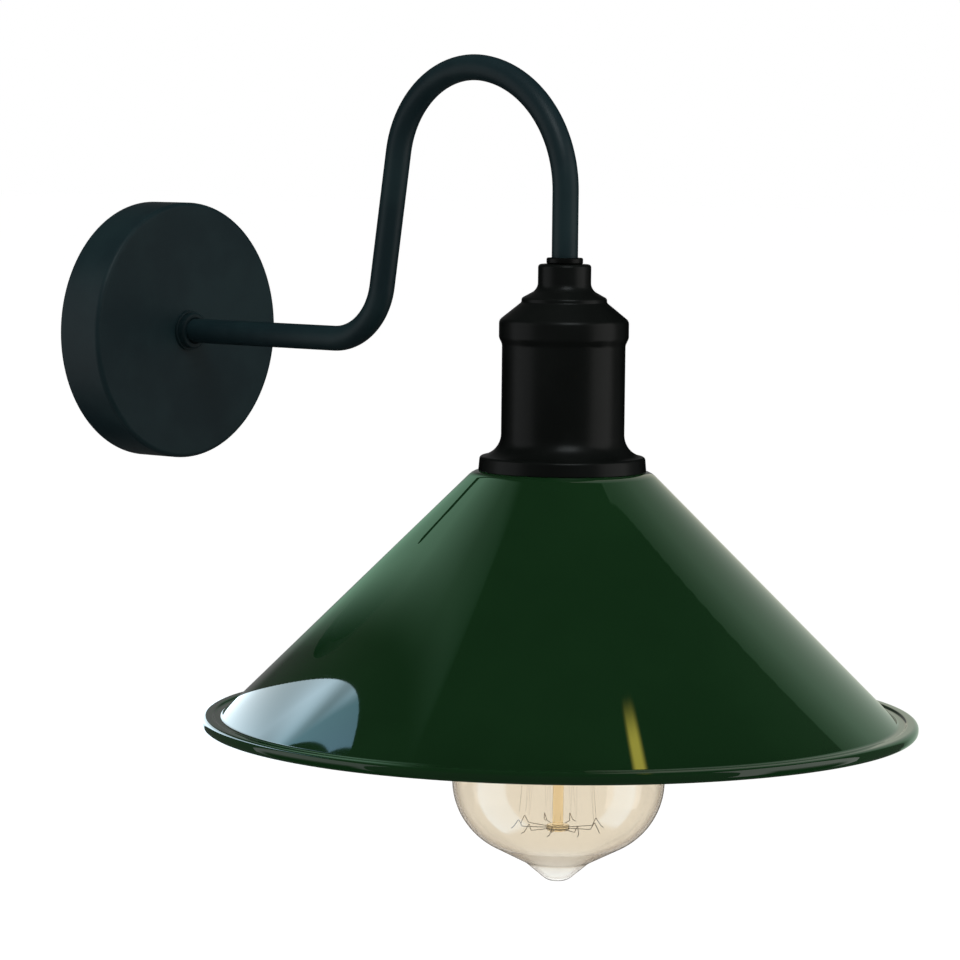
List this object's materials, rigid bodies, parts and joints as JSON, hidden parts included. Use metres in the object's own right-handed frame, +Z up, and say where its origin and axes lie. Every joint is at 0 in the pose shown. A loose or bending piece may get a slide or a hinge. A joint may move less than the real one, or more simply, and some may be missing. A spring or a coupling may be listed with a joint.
{
  "type": "gooseneck wall sconce",
  "caption": "Wall light with a round canopy, a gooseneck arm, a conical metal shade under a cupped lamp holder and a large clear pear bulb.",
  "frame": {"origin": "centre of the round canopy on the wall plane, midway between the two wall slots of the strap", "axes": "+Y into the wall, so the lamp stands out towards -Y; +Z up; X across the wall"},
  "size_m": [0.26, 0.3396, 0.3001],
  "materials": {
    "arm_paint": "satin powder coat, blue-black",
    "cup_paint": "satin black paint",
    "shade_enamel": "gloss dark green enamel, white inside",
    "zinc_steel": "zinc plated",
    "brass_parts": "plain brass",
    "white_nylon": "moulded",
    "grommet_rubber": "moulded rubber",
    "brown_insulation": "smooth insulation",
    "blue_insulation": "smooth insulation",
    "green_yellow_insulation": "striped insulation",
    "black_phenolic": "moulded phenolic",
    "porcelain": "glazed porcelain",
    "amber_glass": "clear glass with a champagne tint",
    "stem_glass": "golden glass",
    "cap_metal": "thin rolled brass",
    "insulator_glass": "black glass",
    "solder": "dull solder",
    "cage_wire": "thin drawn wire",
    "filament_wire": "carbonised wire, unlit"
  },
  "bodies": {
    "fixture": {"wall_strap": "zinc_steel", "canopy": "arm_paint", "canopy_screws": "zinc_steel", "cable_grommet": "grommet_rubber", "terminal_block": "white_nylon", "terminal_sleeves": "brass_parts", "terminal_screws": "zinc_steel", "block_screw": "zinc_steel", "earth_lug": "brass_parts", "earth_washer": "zinc_steel", "earth_screw": "zinc_steel", "arm_tube": "arm_paint", "root_washer": "arm_paint", "root_collar": "arm_paint", "arm_lock_nut": "zinc_steel", "arm_lock_washer": "zinc_steel", "arm_bushes": "white_nylon", "live_wire": "brown_insulation", "neutral_wire": "blue_insulation", "earth_wire": "green_yellow_insulation", "lock_ring": "cup_paint", "holder_cup": "cup_paint", "cup_nut": "zinc_steel", "holder_dome": "black_phenolic", "holder_grub": "zinc_steel", "holder_skirt": "black_phenolic", "holder_core": "porcelain", "screw_shell": "brass_parts", "holder_terminals": "brass_parts", "holder_terminal_screws": "zinc_steel", "centre_contact": "brass_parts"},
    "shade": {"shade": "shade_enamel"},
    "shade_ring": {"shade_ring": "black_phenolic"},
    "bulb_contact": {"bulb_end_contact": "solder"},
    "bulb": {"bulb_glass": "amber_glass", "bulb_cap": "cap_metal", "bulb_insulator": "insulator_glass", "bulb_stem": "stem_glass", "bulb_rod": "stem_glass", "filament_supports": "cage_wire", "filament": "filament_wire", "bulb_leads": "cage_wire"}
  },
  "joints": [
    {"name": "shade_drop", "type": "slide", "parent": "fixture", "child": "shade", "axis": [0, 0, -1], "range_m": [0, 0.005]},
    {"name": "ring_turn", "type": "hinge", "parent": "shade", "child": "shade_ring", "pos_m": [0, -0.20818, -0.04422], "axis": [0, 0, -1], "range_deg": [0, 720]},
    {"name": "bulb_travel", "type": "slide", "parent": "fixture", "child": "bulb_contact", "axis": [0, 0, -1], "range_m": [0, 0.01634]},
    {"name": "bulb_turn", "type": "hinge", "parent": "bulb_contact", "child": "bulb", "pos_m": [0, -0.20818, -0.03182], "axis": [0, 0, -1], "range_deg": [0, 1620]}
  ],
  "couplings": [
    {"joint": "ring_turn", "follows": "shade_drop", "rad_per_m": 2513.2},
    {"joint": "bulb_turn", "follows": "bulb_travel", "rad_per_m": 1730.3}
  ]
}
